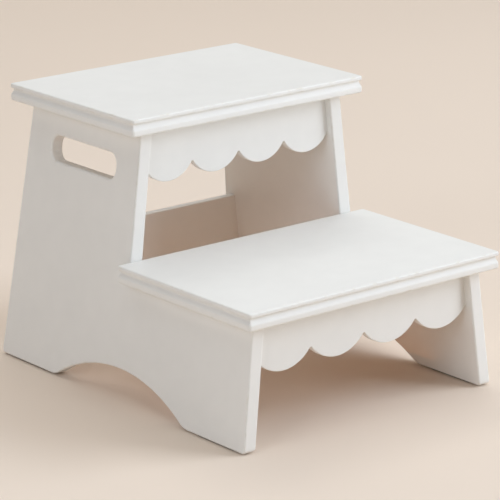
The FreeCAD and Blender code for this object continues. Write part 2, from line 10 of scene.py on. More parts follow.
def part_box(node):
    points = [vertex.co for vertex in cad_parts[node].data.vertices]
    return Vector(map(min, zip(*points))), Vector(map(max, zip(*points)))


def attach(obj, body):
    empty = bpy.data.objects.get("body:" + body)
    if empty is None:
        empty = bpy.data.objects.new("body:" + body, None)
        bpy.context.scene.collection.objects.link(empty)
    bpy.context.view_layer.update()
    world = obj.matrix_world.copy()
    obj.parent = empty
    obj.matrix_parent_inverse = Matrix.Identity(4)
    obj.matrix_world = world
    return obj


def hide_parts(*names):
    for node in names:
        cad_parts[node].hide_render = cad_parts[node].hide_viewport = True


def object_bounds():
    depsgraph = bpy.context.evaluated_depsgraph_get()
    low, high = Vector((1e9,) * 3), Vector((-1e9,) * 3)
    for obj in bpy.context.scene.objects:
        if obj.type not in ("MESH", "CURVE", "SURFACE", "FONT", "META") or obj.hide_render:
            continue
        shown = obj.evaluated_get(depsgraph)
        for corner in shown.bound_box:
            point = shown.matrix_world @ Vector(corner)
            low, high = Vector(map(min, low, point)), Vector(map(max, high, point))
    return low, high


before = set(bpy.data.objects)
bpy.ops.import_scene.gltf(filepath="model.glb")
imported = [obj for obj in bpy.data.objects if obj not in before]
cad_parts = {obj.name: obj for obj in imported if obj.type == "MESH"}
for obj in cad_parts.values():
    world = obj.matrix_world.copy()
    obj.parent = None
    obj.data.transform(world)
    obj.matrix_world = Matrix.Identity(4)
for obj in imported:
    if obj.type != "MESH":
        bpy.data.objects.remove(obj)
cad_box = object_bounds()

bl_info = {
    "name": "Two-Step Stool",
    "version": (1, 0, 0),
    "blender": (4, 5, 0),
    "location": "3D View > Sidebar > Step Stool",
    "description": "Boards, cover caps, foot pads, finishes and studio of a painted two-step stool",
    "category": "Object",
}

MM = 0.001
# The Mix node's colour sockets, which share their names with its number sockets.
MIX_A, MIX_B, MIX_OUT = 6, 7, 2
SIDES = {"left": -1, "right": 1}
ARC_STEPS = 6       # straight steps that draw each quarter turn of a rounded arris
CORNER_STEPS = 10   # the same, for a corner of a panel's outline and the run-out of its arch
ARCH_STEPS = 72     # for the whole arch
SLOT_STEPS = 12     # for a corner of the hand slot
PLAN_STEPS = 8      # for a corner of a tread or a pad, seen from above
CAP_STEPS = 48      # for a cap's full turn
SHARP = math.radians(35)     # faces that meet at more than this aren't shaded as one
BROAD_FACE = (15 * MM) ** 2  # from this area up a face counts as flat board
BEND_RANGE = (0.57, 0.93)    # shares of one arris step from which, and to which, a bend is marked
SAME_PLACE = 0.01 * MM       # places closer together than this are taken as one
MERGE_DISTANCE = 0.001 * MM
FLOOR_FLAT, FLOOR_BEND, FLOOR_WALL = 5.0, 2.0, 3.5  # the floor's flat, its bend and its rim's height
FLOOR_SHARES = (0.05, 0.2, 0.5, 1.0)                # rings of the flat, as shares of its radius
FLOOR_STEPS = 96
BEND_STEPS = 16
CAMERA_AIM = Vector((1.4, -7.0, -15.1)) * MM        # from the middle of the stool's box
STOOL_MIDDLE = (0, 0, 0.15)                         # where the low softboxes point

# ---- planes and edges that the pieces share, from the frame --------------------------------------

UPPER_LOW, UPPER_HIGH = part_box("upper_tread")
LOWER_LOW, LOWER_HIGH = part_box("lower_tread")
UPPER_APRON_LOW, UPPER_APRON_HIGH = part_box("upper_apron")
LOWER_APRON_LOW, LOWER_APRON_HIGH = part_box("lower_apron")
RAIL_LOW, RAIL_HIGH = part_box("back_rail")
PANEL_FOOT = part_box("right_side_panel")[0].z

# Both aprons end on the side panels' inner faces and have scallops of one depth, so the step from one
# apron to the other gives how far the faces lean.
LEAN_SLOPE = (LOWER_APRON_HIGH.x - UPPER_APRON_HIGH.x) / (UPPER_APRON_LOW.z - LOWER_APRON_LOW.z)
LEAN = math.atan(LEAN_SLOPE)
FACE_OUT = Vector((math.cos(LEAN), 0, math.sin(LEAN)))
FACE_UP = Vector((-math.sin(LEAN), 0, math.cos(LEAN)))


def inner_x(z):
    """Distance from the stool's middle to the right-hand panel's inner face at height z."""
    return RAIL_HIGH.x - (z - RAIL_LOW.z) * LEAN_SLOPE


def linear(hex_colour):
    """Linear RGB of an sRGB hex colour."""
    channels = [int(hex_colour[i:i + 2], 16) / 255 for i in (1, 3, 5)]
    return [c / 12.92 if c <= 0.04045 else ((c + 0.055) / 1.055) ** 2.4 for c in channels]


def length(name, description, millimetres):
    """A length that the user can change."""
    return FloatProperty(name=name, description=description, default=millimetres * MM,
                         min=0.0, unit="LENGTH", precision=4)


def angle(name, description, degrees):
    """An angle that the user can change."""
    return FloatProperty(name=name, description=description, default=math.radians(degrees),
                         subtype="ANGLE")


def power(name, description, watts):
    """A light's power that the user can change."""
    return FloatProperty(name=name, description=description, default=watts, min=0.0, unit="POWER")


def colour(name, description, hex_colour):
    """A colour that the user can change."""
    return FloatVectorProperty(name=name, description=description, default=linear(hex_colour),
                               min=0.0, max=1.0, size=3, subtype="COLOR")


# ---- sizes and colours that a user would change ---------------------------------------------------

class SidePanelSizes(bpy.types.PropertyGroup):
    """Sizes of the two side panels"""
    thickness: length("Thickness", "Thickness of the side boards", 15)
    upper_front_overhang: length("Upper Front Overhang", "Upper tread's front edge to the riser line", 13)
    upper_rear_overhang: length("Upper Rear Overhang", "Upper tread's rear edge to the panel", 14)
    lower_front_overhang: length("Lower Front Overhang", "Lower tread's front edge to the panel", 14)
    rear_splay: angle("Rear Splay", "Lean of the rear edge", 4.9)
    front_splay: angle("Front Splay", "Lean of the lower front edge", 2.0)
    arch_height: length("Arch Height", "Height of the arch between the feet", 33)
    arch_span: length("Arch Span", "Width of the arch at the feet", 213)
    foot_radius: length("Foot Radius", "Soft run-out of the arch into each foot", 22)
    toe_radius: length("Toe Radius", "Outer corner of each foot", 4)
    arris_radius: length("Arris Radius", "Rounding of the outline's arrises", 2)
    slot_length: length("Slot Length", "Hand slot, front to back", 109)
    slot_height: length("Slot Height", "Hand slot, bottom to top", 26.7)
    slot_drop: length("Slot Drop", "Upper tread's underside down to the hand slot", 28.7)
    slot_corner_radius: length("Slot Corner Radius", "Corners of the hand slot", 11)
    slot_arris_radius: length("Slot Arris Radius", "Rounding of the hand slot's rims", 2.5)


class TreadSizes(bpy.types.PropertyGroup):
    """Sizes of the treads' edge moulding"""
    corner_radius: length("Corner Radius", "Corners of a tread, seen from above", 3.2)
    top_radius: length("Top Radius", "Rounding of the top arris", 1.6)
    bottom_radius: length("Bottom Radius", "Rounding of the bottom arris", 2.4)
    bead_height: length("Bead Height", "Height of the rounded nose", 4.9)
    bead_radius: length("Bead Radius", "Rounding under the nose", 1.8)
    groove_depth: length("Groove Depth", "How far the groove runs in", 3.0)
    groove_height: length("Groove Height", "Upright wall of the groove", 0.6)
    ogee_height: length("Ogee Height", "Double curve out to full width, below the groove", 7.2)
    ogee_upper_pull: length("Ogee Upper Pull", "How far its hollow half keeps to the wall", 3.6)
    ogee_lower_pull: length("Ogee Lower Pull", "How far its round half keeps to the full width", 2.7)
    fill_radius: length("Fill Radius", "Paint that fills the groove's corners", 0.45)


class ApronSizes(bpy.types.PropertyGroup):
    """Sizes of the aprons and the rail's arrises"""
    scallops: IntProperty(name="Scallops", description="Scallops on each apron", default=4, min=1)
    scallop_depth: length("Scallop Depth", "Cusps down to the lowest points", 17.5)
    cusp_radius: length("Cusp Radius", "Rounding of the points between scallops", 1.5)
    arris_radius: length("Arris Radius", "Rounding of the free arrises", 1.0)
    steps: IntProperty(name="Steps", description="Straight steps that draw each scallop",
                       default=96, min=8)


class CapSizes(bpy.types.PropertyGroup):
    """Sizes of the cover caps"""
    radius: length("Radius", "Radius of a cover cap", 8.75)
    thickness: length("Thickness", "How far a cap stands off the panel", 1.0)
    rim_radius: length("Rim Radius", "Rounding of a cap's rim", 0.6)
    dish: length("Dish", "How far the middle of a cap is sunk", 0.15)
    stem_radius: length("Stem Radius", "Radius of the stem that plugs into the cam", 2.0)
    stem_length: length("Stem Length", "Length of the stem", 1.8)


class PadSizes(bpy.types.PropertyGroup):
    """Sizes of the foot pads and their nubs"""
    corner_radius: length("Corner Radius", "Corners of a foot pad", 4.0)
    nub_radius: length("Nub Radius", "Radius of each grip nub", 0.7)
    nub_height: length("Nub Height", "How far the nubs stand below the pad", 0.35)
    nub_pitch: length("Nub Pitch", "Distance from nub to nub", 2.2)


class Finishes(bpy.types.PropertyGroup):
    """Colours of the finishes"""
    lacquer: colour("Lacquer", "Satin lacquer on all boards", "#EDEBE6")
    primer: colour("Primer", "Undercoat that shows where an arris is rubbed", "#DDD3C2")
    beech: colour("Beech", "Dowels", "#D9B384")
    zinc: colour("Zinc Plate", "Cam bolts", "#C9CDD0")
    casting: colour("Zinc Casting", "Cams", "#A9A8A4")
    cap: colour("Cover Cap", "Plastic cover caps", "#F1EFEA")
    rubber: colour("Rubber", "Foot pads", "#8B857D")


class StudioSettings(bpy.types.PropertyGroup):
    """Floor, lights and camera"""
    floor: colour("Floor", "Seamless studio floor", "#EADACA")
    low_tint: colour("Low Softbox Colour", "Light of the softboxes in front and beside", "#E9F3FF")
    high_tint: colour("High Softbox Colour", "Light of the softboxes overhead", "#F6F6F5")
    key_power: power("Key Power", "Softbox in front, to the right", 126.0)
    top_power: power("Top Power", "Broad softbox overhead", 72.0)
    side_power: power("Side Power", "Softbox to the left", 15.2)
    rear_power: power("Rear Power", "Broad softbox above the floor behind", 40.0)
    bounce_power: power("Bounce Power", "Warm light off the floor below the treads", 0.05)
    bounce_tint: colour("Bounce Colour", "Colour of the light off the floor", "#FFA050")
    sky: FloatProperty(name="Sky", description="Strength of the even light from all round",
                       default=0.05, min=0.0)
    azimuth: angle("Azimuth", "Camera's turn round the stool", -39.342)
    elevation: angle("Elevation", "Camera's height above level", 16.599)
    roll: angle("Roll", "Camera's tilt about its line of sight", -0.165)
    distance: length("Distance", "From the camera to the point it looks at", 2935.5)
    lens: FloatProperty(name="Lens", description="Focal length in millimetres on a 36 mm sensor",
                        default=206.5, min=1.0)


class StoolSettings(bpy.types.PropertyGroup):
    """Everything that a user would change"""
    side_panels: PointerProperty(type=SidePanelSizes)
    treads: PointerProperty(type=TreadSizes)
    aprons: PointerProperty(type=ApronSizes)
    caps: PointerProperty(type=CapSizes)
    pads: PointerProperty(type=PadSizes)
    finishes: PointerProperty(type=Finishes)
    studio: PointerProperty(type=StudioSettings)


# ---- outlines ---------------------------------------------------------------------------------

def sweep(centre, radius, start, end, steps):
    """Points of an arc in the plane, from one angle to another."""
    angles = [start + (end - start) * i / steps for i in range(steps + 1)]
    return [Vector((centre[0] + radius * math.cos(a), centre[1] + radius * math.sin(a)))
            for a in angles]


def circle(radius, steps):
    """Points of a full turn round the origin, none of them twice."""
    return sweep((0, 0), radius, 0, 2 * math.pi, steps)[:-1]


def rounded(corners, steps, closed=True):
    """Points of an outline whose corners, (across, up, radius) each, are eased by arcs."""
    points = []
    count = len(corners)
    for i, (across, up, radius) in enumerate(corners):
        corner = Vector((across, up))
        if not radius or not (closed or 0 < i < count - 1):
            points.append(corner)
            continue
        before = (Vector(corners[i - 1][:2]) - corner).normalized()
        after = (Vector(corners[(i + 1) % count][:2]) - corner).normalized()
        half = before.angle(after) / 2
        centre = corner + (before + after).normalized() * (radius / math.sin(half))
        first = corner + before * (radius / math.tan(half)) - centre
        start = math.atan2(first.y, first.x)
        turn = math.copysign(math.pi - 2 * half, after.x * before.y - after.y * before.x)
        points += sweep(centre, radius, start, start + turn, steps)
    return points


def arch_points(sizes, middle, reach_low):
    """The arch from the front foot to the rear foot: one large arc, eased into each foot's flat."""
    radius = ((sizes.arch_span / 2) ** 2 + sizes.arch_height ** 2) / (2 * sizes.arch_height)
    centre = Vector((middle, reach_low + sizes.arch_height - radius))
    foot_up = reach_low + sizes.foot_radius
    reach = math.sqrt((radius + sizes.foot_radius) ** 2 - (foot_up - centre.y) ** 2)
    spread = math.atan2(foot_up - centre.y, reach)
    down = -math.pi / 2
    front = sweep((middle - reach, foot_up), sizes.foot_radius, down, -spread, CORNER_STEPS)
    arch = sweep(centre, radius, math.pi - spread, spread, ARCH_STEPS)
    rear = sweep((middle + reach, foot_up), sizes.foot_radius, spread - math.pi, down, CORNER_STEPS)
    return front + arch[1:-1] + rear


def panel_outline(sizes, slot_height_up):
    """Side view of a panel, starting on the riser level with the middle of the hand slot."""
    top = UPPER_LOW.z
    ledge = LOWER_LOW.z
    riser = UPPER_LOW.y + sizes.upper_front_overhang
    rear_top = UPPER_HIGH.y - sizes.upper_rear_overhang
    front_top = LOWER_LOW.y + sizes.lower_front_overhang
    rear_slope = math.tan(sizes.rear_splay)
    rear_foot = rear_top + (top - PANEL_FOOT) * rear_slope
    front_foot = front_top - (ledge - PANEL_FOOT) * math.tan(sizes.front_splay)
    arch = arch_points(sizes, (rear_foot + front_foot) / 2, PANEL_FOOT)
    corners = [(riser, slot_height_up, 0), (riser, top, 0), (rear_top, top, 0),
               (rear_top + (top - slot_height_up) * rear_slope, slot_height_up, 0),
               (rear_foot, PANEL_FOOT, sizes.toe_radius)]
    corners += [(p.x, p.y, 0) for p in reversed(arch)]
    corners += [(front_foot, PANEL_FOOT, sizes.toe_radius), (front_top, ledge, 0), (riser, ledge, 0)]
    return rounded(corners, CORNER_STEPS)


def tread_profile(sizes, bottom, top):
    """Edge moulding from the top face round to the underside, as (distance in from the edge, height)."""
    depth = sizes.groove_depth
    lip = top - sizes.bead_height
    floor = lip - sizes.groove_height
    out = floor - sizes.ogee_height
    flat = 4 * sizes.corner_radius
    corners = [(flat, top, 0), (0, top, sizes.top_radius), (0, lip, sizes.bead_radius),
               (depth, lip, sizes.fill_radius)]
    ogee = interpolate_bezier(Vector((depth, floor)), Vector((depth, floor - sizes.ogee_upper_pull)),
                              Vector((0, out + sizes.ogee_lower_pull)), Vector((0, out)), 2 * ARC_STEPS)
    corners += [(p.x, p.y, 0) for p in ogee]
    corners += [(0, bottom, sizes.bottom_radius), (flat, bottom, 0)]
    return rounded(corners, ARC_STEPS, closed=False)


# ---- meshes -----------------------------------------------------------------------------------

def new_object(name, mesh):
    made = bpy.data.objects.new(name, mesh)
    bpy.context.scene.collection.objects.link(made)
    return made


def plain_mesh(obj):
    """Turns what an object's modifiers make of it into its own plain mesh."""
    depsgraph = bpy.context.evaluated_depsgraph_get()
    before = obj.data
    obj.data = bpy.data.meshes.new_from_object(obj.evaluated_get(depsgraph), depsgraph=depsgraph)
    obj.data.name = obj.name
    obj.modifiers.clear()
    bpy.data.meshes.remove(before)


def from_bmesh(name, bm):
    """An object with this bmesh as its mesh, faces turned outwards and shaded smooth."""
    bmesh.ops.recalc_face_normals(bm, faces=bm.faces)
    for face in bm.faces:
        face.smooth = True
    mesh = bpy.data.meshes.new(name)
    bm.to_mesh(mesh)
    bm.free()
    return new_object(name, mesh)


def ease_arrises(obj, radius):
    """Rounds the weighted edges, an edge of weight 1 by the full radius."""
    bevel = obj.modifiers.new("Eased Arrises", "BEVEL")
    bevel.limit_method = "WEIGHT"
    bevel.offset_type = "OFFSET"
    bevel.width = radius
    bevel.segments = ARC_STEPS
    bevel.use_clamp_overlap = False
    bevel.loop_slide = False
    plain_mesh(obj)


def finish_board(obj, material):
    """Keeps flat faces flat in shading, marks arrises and hollows, and paints the board."""
    mesh = obj.data
    for polygon in mesh.polygons:
        polygon.use_smooth = True
    mesh.set_sharp_from_angle(angle=SHARP)
    mark_arrises(mesh)
    mesh.materials.clear()
    mesh.materials.append(material)
    weighted = obj.modifiers.new("Flat Faces", "WEIGHTED_NORMAL")
    weighted.mode = "FACE_AREA"
    weighted.weight = 100
    weighted.keep_sharp = True
    plain_mesh(obj)


def mark_arrises(mesh):
    """Stores how sharply the surface turns at each point: outwards in "arris", inwards in "hollow".

    Points on the rim of a broad face count as flat, so that neither spreads over the face.
    """
    step = math.pi / 2 / ARC_STEPS
    slight, full = (share * step for share in BEND_RANGE)
    bm = bmesh.new()
    bm.from_mesh(mesh)
    bends = []
    for vertex in bm.verts:
        turns = [e.calc_face_angle_signed(0.0) for e in vertex.link_edges if len(e.link_faces) == 2]
        if any(face.calc_area() > BROAD_FACE for face in vertex.link_faces):
            turns = []
        bends.append((max(turns + [0.0]), -min(turns + [0.0])))
    bm.free()
    for k, name in enumerate(("arris", "hollow")):
        layer = mesh.attributes.new(name, "FLOAT", "POINT")
        values = [min(1.0, max(0.0, (bend[k] - slight) / (full - slight))) for bend in bends]
        layer.data.foreach_set("value", values)


def stands_for(obj, slot, *nodes):
    """The object rides with the stool, and stands for these CAD nodes, which it hides; the slot is not
    used.
    """
    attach(obj, "root")
    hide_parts(*nodes)


def ring_of(bm, points):
    return [bm.verts.new(p) for p in points]


def wall(bm, ring, other):
    """Quads between two closed rings of the same number of points."""
    for i in range(len(ring)):
        k = (i + 1) % len(ring)
        bm.faces.new((ring[i], ring[k], other[k], other[i]))


def side_panel(name, side, sizes, material):
    """Leaning side board with its step outline, arch and hand slot. Edges under a tread stay sharp."""
    width = sizes.thickness / math.cos(LEAN)
    foot = Vector((inner_x(0), 0, 0))
    top_up = UPPER_LOW.z / math.cos(LEAN) - sizes.thickness * LEAN_SLOPE
    high = top_up - sizes.slot_drop
    low = high - sizes.slot_height
    middle = (UPPER_LOW.y + sizes.upper_front_overhang + UPPER_HIGH.y - sizes.upper_rear_overhang) / 2
    front = middle - sizes.slot_length / 2
    rear = middle + sizes.slot_length / 2
    half_up = (low + high) / 2
    radius = sizes.slot_corner_radius
    outline = panel_outline(sizes, half_up * math.cos(LEAN))
    slot = rounded([(front, low, radius), (rear, low, radius), (rear, half_up, 0),
                    (rear, high, radius), (front, high, radius), (front, half_up, 0)], SLOT_STEPS)
    mirror = Matrix.Diagonal((side, 1, 1))
    bm = bmesh.new()
    weight = bm.edges.layers.float.new("bevel_weight_edge")
    outlines = []
    slots = []
    for depth in (0, 1):
        face = [Vector((inner_x(p.y) + depth * width, p.x, p.y)) for p in outline]
        hole = [foot + FACE_UP * p.y + FACE_OUT * (depth * sizes.thickness) + Vector((0, p.x, 0))
                for p in slot]
        outlines.append(ring_of(bm, [mirror @ p for p in face]))
        slots.append(ring_of(bm, [mirror @ p for p in hole]))
    rear_middle = 2 * (SLOT_STEPS + 1)
    front_middle = len(slot) - 1
    for ring, hole in zip(outlines, slots):
        bm.faces.new(ring[:4] + hole[rear_middle:])
        bm.faces.new(ring[3:] + ring[:1] + hole[front_middle:] + hole[:rear_middle + 1])
    wall(bm, *outlines)
    wall(bm, *slots)
    levels = (UPPER_LOW.z, LOWER_LOW.z)
    for ring, share in [(r, sizes.arris_radius / sizes.slot_arris_radius) for r in outlines] + \
            [(r, 1.0) for r in slots]:
        for i, vertex in enumerate(ring):
            edge = bm.edges.get((vertex, ring[i - 1]))
            level = (edge.verts[0].co.z + edge.verts[1].co.z) / 2
            under_tread = any(abs(level - z) < 0.1 * MM for z in levels)
            edge[weight] = 0.0 if under_tread else share
    panel = from_bmesh(name, bm)
    ease_arrises(panel, sizes.slot_arris_radius)
    finish_board(panel, material)
    stands_for(panel, "painted_board", name.replace("_board", ""))
    return panel


def tread(name, box, sizes, material):
    """Tread board: its edge moulding carried round all four sides, with flat top and underside."""
    low, high = box
    centre = (low + high) / 2
    half = (high - low) / 2
    bm = bmesh.new()
    rings = []
    for inset, height in tread_profile(sizes, low.z, high.z):
        radius = max(sizes.corner_radius - inset, sizes.fill_radius)
        x = half.x - inset
        y = half.y - inset
        plan = rounded([(x, -y, radius), (x, y, radius), (-x, y, radius), (-x, -y, radius)], PLAN_STEPS)
        rings.append(ring_of(bm, [(centre.x + p.x, centre.y + p.y, height) for p in plan]))
    for ring, other in zip(rings, rings[1:]):
        wall(bm, ring, other)
    bm.faces.new(rings[0])
    bm.faces.new(rings[-1])
    board = from_bmesh(name + "_board", bm)
    finish_board(board, material)
    stands_for(board, "painted_board", name)
    return board


def back_rail(sizes, material):
    """Plain rail between the side panels, with its four long arrises eased."""
    corners = [(side * inner_x(z), z) for side, z in
               ((-1, RAIL_LOW.z), (1, RAIL_LOW.z), (1, RAIL_HIGH.z), (-1, RAIL_HIGH.z))]
    bm = bmesh.new()
    weight = bm.edges.layers.float.new("bevel_weight_edge")
    rings = [ring_of(bm, [(x, y, z) for x, z in corners]) for y in (RAIL_LOW.y, RAIL_HIGH.y)]
    wall(bm, *rings)
    for ring in rings:
        bm.faces.new(ring)
        for a, b in ((0, 1), (2, 3)):
            bm.edges.get((ring[a], ring[b]))[weight] = 1.0
    rail = from_bmesh("back_rail_board", bm)
    ease_arrises(rail, sizes.arris_radius)
    finish_board(rail, material)
    stands_for(rail, "painted_board", "back_rail")
    return rail


def turned_mesh(name, profile, steps):
    """A shape turned about Z from its profile, (radius, height) each, that starts and ends on Z."""
    bm = bmesh.new()
    first = bm.verts.new((0, 0, profile[0][1]))
    last = bm.verts.new((0, 0, profile[-1][1]))
    rings = []
    for radius, height in profile[1:-1]:
        rings.append(ring_of(bm, [(p.x, p.y, height) for p in circle(radius, steps)]))
    for ring, other in zip(rings, rings[1:]):
        wall(bm, ring, other)
    for tip, ring in ((first, rings[0]), (last, rings[-1])):
        for i in range(steps):
            bm.faces.new((tip, ring[i - 1], ring[i]))
    return from_bmesh(name, bm)


# ---- node trees -------------------------------------------------------------------------------

def add(tree, kind, feeds=(), **settings):
    """Adds one node. Feeds go into its inputs by name or in order: a node, a socket or a value."""
    node = tree.nodes.new(kind)
    for name, value in settings.items():
        setattr(node, name, value)
    for key, value in (feeds.items() if isinstance(feeds, dict) else enumerate(feeds)):
        if isinstance(value, bpy.types.Node):
            value = value.outputs[0]
        if isinstance(value, bpy.types.NodeSocket):
            tree.links.new(value, node.inputs[key])
        else:
            node.inputs[key].default_value = value
    return node


def calc(tree, operation, *inputs):
    """Adds one sum of the tree's arithmetic."""
    return add(tree, "ShaderNodeMath", inputs, operation=operation)


def new_tree(name, inputs):
    """An empty geometry tree with these named inputs, (name, socket type) each, and its input node."""
    tree = bpy.data.node_groups.new(name, "GeometryNodeTree")
    for label, kind in inputs:
        tree.interface.new_socket(label, in_out="INPUT", socket_type=kind)
    tree.interface.new_socket("Geometry", in_out="OUTPUT", socket_type="NodeSocketGeometry")
    return tree, tree.nodes.new("NodeGroupInput").outputs


def close_tree(tree, geometry, material):
    """Ends a tree: everything made real, shaded smooth, and given its material."""
    real = add(tree, "GeometryNodeRealizeInstances", (geometry,))
    smooth = add(tree, "GeometryNodeSetShadeSmooth", (real,))
    painted = add(tree, "GeometryNodeSetMaterial", {"Geometry": smooth, "Material": material})
    tree.links.new(painted.outputs[0], tree.nodes.new("NodeGroupOutput").inputs[0])


def made_by(name, tree, values):
    """A plain mesh object that the tree makes from these values of its inputs."""
    made = new_object(name, bpy.data.meshes.new(name))
    modifier = made.modifiers.new(tree.name, "NODES")
    modifier.node_group = tree
    for item in tree.interface.items_tree:
        if item.in_out == "INPUT":
            modifier[item.identifier] = values[item.name]
    plain_mesh(made)
    return made


def apron_tree():
    """A scalloped board: its outline is a loop of points placed by formula, filled and thickened.

    The lower edge is a row of equal arcs that meet in cusps, and each inner cusp is eased by a small
    arc that touches the scallops on both sides of it.
    """
    tree, given = new_tree("scalloped_apron", (
        ("Half Width at Cusps", "NodeSocketFloat"), ("Half Width at Top", "NodeSocketFloat"),
        ("Cusp Height", "NodeSocketFloat"), ("Top Height", "NodeSocketFloat"),
        ("Scallops", "NodeSocketInt"), ("Scallop Depth", "NodeSocketFloat"),
        ("Cusp Radius", "NodeSocketFloat"), ("Steps per Scallop", "NodeSocketInt"),
        ("Face", "NodeSocketFloat"), ("Thickness", "NodeSocketFloat"), ("Material", "NodeSocketMaterial")))
    half, depth, ease = given["Half Width at Cusps"], given["Scallop Depth"], given["Cusp Radius"]
    count, steps, cusp = given["Scallops"], given["Steps per Scallop"], given["Cusp Height"]

    # The scallops' arc: half a pitch wide on each side of its middle, and one scallop deep.
    half_pitch = calc(tree, "DIVIDE", half, count)
    pitch = calc(tree, "MULTIPLY", half_pitch, 2.0)
    half_pitch_2 = calc(tree, "POWER", half_pitch, 2.0)
    depth_2 = calc(tree, "POWER", depth, 2.0)
    chord = calc(tree, "ADD", half_pitch_2, depth_2)
    twice = calc(tree, "MULTIPLY", depth, 2.0)
    radius = calc(tree, "DIVIDE", chord, twice)
    bottom = calc(tree, "SUBTRACT", cusp, depth)
    centre = calc(tree, "ADD", bottom, radius)

    # The easing arc's centre, and where along the scallop it takes over.
    both = calc(tree, "ADD", radius, ease)
    both_2 = calc(tree, "POWER", both, 2.0)
    drop_2 = calc(tree, "SUBTRACT", both_2, half_pitch_2)
    drop = calc(tree, "SQRT", drop_2)
    ease_centre = calc(tree, "SUBTRACT", centre, drop)
    share = calc(tree, "DIVIDE", radius, both)
    join = calc(tree, "MULTIPLY", half_pitch, share)

    # How far along the row a point is, in scallops, and how far from the middle of its own scallop.
    index = add(tree, "GeometryNodeInputIndex")
    along = calc(tree, "DIVIDE", index, steps)
    part = calc(tree, "FRACT", along)
    off = calc(tree, "SUBTRACT", part, 0.5)
    away = calc(tree, "ABSOLUTE", off)
    reach = calc(tree, "MULTIPLY", away, pitch)

    radius_2 = calc(tree, "POWER", radius, 2.0)
    reach_2 = calc(tree, "POWER", reach, 2.0)
    rise_2 = calc(tree, "SUBTRACT", radius_2, reach_2)
    rise = calc(tree, "SQRT", rise_2)
    scallop_up = calc(tree, "SUBTRACT", centre, rise)

    to_cusp = calc(tree, "SUBTRACT", half_pitch, reach)
    to_cusp_2 = calc(tree, "POWER", to_cusp, 2.0)
    ease_2 = calc(tree, "POWER", ease, 2.0)
    bulge_2 = calc(tree, "SUBTRACT", ease_2, to_cusp_2)
    bulge_positive = calc(tree, "MAXIMUM", bulge_2, 0.0)
    bulge = calc(tree, "SQRT", bulge_positive)
    ease_up = calc(tree, "ADD", ease_centre, bulge)

    # Only the inner cusps are eased: the end ones run into the side panels.
    nearest = calc(tree, "ROUND", along)
    after_first = calc(tree, "GREATER_THAN", nearest, 0.5)
    last = calc(tree, "SUBTRACT", count, 0.5)
    before_last = calc(tree, "LESS_THAN", nearest, last)
    past_join = calc(tree, "GREATER_THAN", reach, join)
    inner = calc(tree, "MULTIPLY", after_first, before_last)
    eased = calc(tree, "MULTIPLY", inner, past_join)
    low_up = add(tree, "GeometryNodeSwitch", (eased, scallop_up, ease_up), input_type="FLOAT")
    run = calc(tree, "MULTIPLY", along, pitch)
    low_across = calc(tree, "SUBTRACT", run, half)

    # The last two points of the loop are the top corners: right, then left.
    row = calc(tree, "MULTIPLY", count, steps)
    in_row = calc(tree, "ADD", row, 0.5)
    is_top = calc(tree, "GREATER_THAN", index, in_row)
    first_corner = calc(tree, "ADD", row, 1.5)
    is_left = calc(tree, "GREATER_THAN", index, first_corner)
    top_half = given["Half Width at Top"]
    to_left = calc(tree, "MULTIPLY", top_half, -1.0)
    corner = add(tree, "GeometryNodeSwitch", (is_left, top_half, to_left), input_type="FLOAT")
    across = add(tree, "GeometryNodeSwitch", (is_top, low_across, corner), input_type="FLOAT")
    up = add(tree, "GeometryNodeSwitch", (is_top, low_up, given["Top Height"]), input_type="FLOAT")
    place = add(tree, "ShaderNodeCombineXYZ", (across, up))

    total = calc(tree, "ADD", row, 3.0)
    loop = add(tree, "GeometryNodeMeshCircle", {"Vertices": total}, fill_type="NONE")
    outline = add(tree, "GeometryNodeSetPosition", {"Geometry": loop, "Position": place})
    curve = add(tree, "GeometryNodeMeshToCurve", (outline,))
    face = add(tree, "GeometryNodeFillCurve", (curve,), mode="NGONS")
    forward = add(tree, "ShaderNodeCombineXYZ", (0.0, 0.0, 1.0))
    front = add(tree, "GeometryNodeExtrudeMesh",
                {"Mesh": face, "Offset": forward, "Offset Scale": given["Thickness"], "Individual": False},
                mode="FACES")
    back = add(tree, "GeometryNodeFlipFaces", (face,))
    join_all = add(tree, "GeometryNodeJoinGeometry", (front,))
    tree.links.new(back.outputs[0], join_all.inputs[0])
    whole = add(tree, "GeometryNodeMergeByDistance", {"Geometry": join_all, "Distance": MERGE_DISTANCE})
    rear = calc(tree, "ADD", given["Face"], given["Thickness"])
    shift = add(tree, "ShaderNodeCombineXYZ", {"Y": rear})
    upright = add(tree, "GeometryNodeTransform",
                  {"Geometry": whole, "Translation": shift, "Rotation": (math.pi / 2, 0, 0)})
    close_tree(tree, upright, given["Material"])
    return tree


def apron(tree, name, box, sizes, material):
    """One apron from the tree, with the arrises of its free lower edge eased."""
    low, high = box
    cusp = low.z + sizes.scallop_depth
    board = made_by(name + "_board", tree, {
        "Half Width at Cusps": inner_x(cusp), "Half Width at Top": inner_x(high.z),
        "Cusp Height": cusp, "Top Height": high.z,
        "Scallops": sizes.scallops, "Scallop Depth": sizes.scallop_depth,
        "Cusp Radius": sizes.cusp_radius, "Steps per Scallop": sizes.steps,
        "Face": low.y, "Thickness": high.y - low.y, "Material": material})
    mesh = board.data
    weight = mesh.attributes.new("bevel_weight_edge", "FLOAT", "EDGE")
    free = cusp + sizes.cusp_radius
    for edge in mesh.edges:
        a, b = (mesh.vertices[k].co for k in edge.vertices)
        lengthwise = abs(a.y - b.y) < SAME_PLACE
        weight.data[edge.index].value = float(lengthwise and a.z < free and b.z < free)
    ease_arrises(board, sizes.arris_radius)
    finish_board(board, material)
    stands_for(board, "painted_board", name)
    return board


